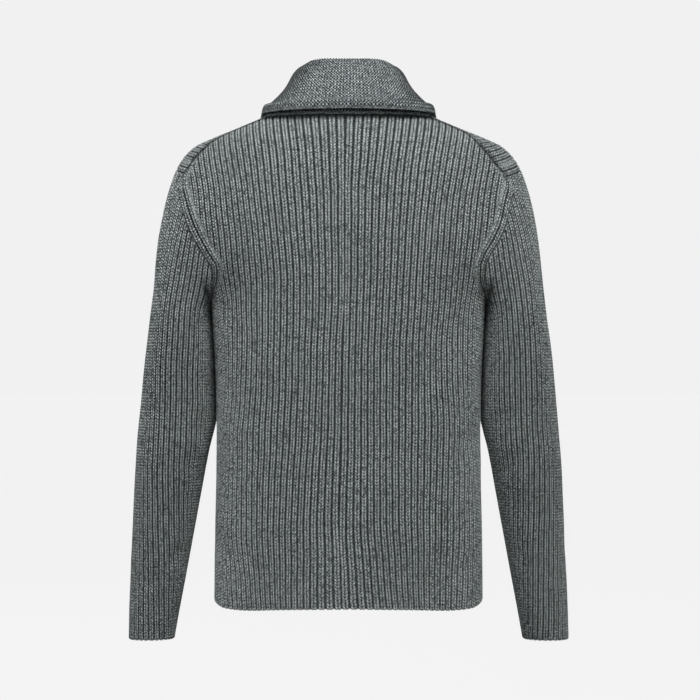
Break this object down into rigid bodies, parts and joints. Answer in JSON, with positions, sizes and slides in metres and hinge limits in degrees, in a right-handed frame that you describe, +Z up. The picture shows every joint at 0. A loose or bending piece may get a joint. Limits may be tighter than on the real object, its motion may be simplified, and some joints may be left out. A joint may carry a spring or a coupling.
{
  "type": "shawl collar cardigan",
  "caption": "Chunky rib knit cardigan with a rolled shawl collar and a buttoned front, filled out as worn with nobody in it.",
  "frame": {"origin": "between the shoulders, level with the side of the neck, where the wearer carries it", "axes": "+Z up along the garment, -Y towards its buttoned front, +X towards the wearer's left"},
  "size_m": [0.6246, 0.2436, 0.8084],
  "materials": {
    "rib_knit": "heathered grey wool, chunky rib",
    "moss_stitch": "heathered grey wool, moss stitch",
    "button": "dark horn, satin"
  },
  "bodies": {
    "root": {"back": "rib_knit", "front_left": "rib_knit", "front_right": "rib_knit", "sleeve_left": "rib_knit", "sleeve_right": "rib_knit", "collar": "moss_stitch", "band_left": "moss_stitch", "band_right": "moss_stitch", "button_1": "button", "button_2": "button", "button_3": "button", "button_4": "button", "button_5": "button"}
  },
  "joints": []
}
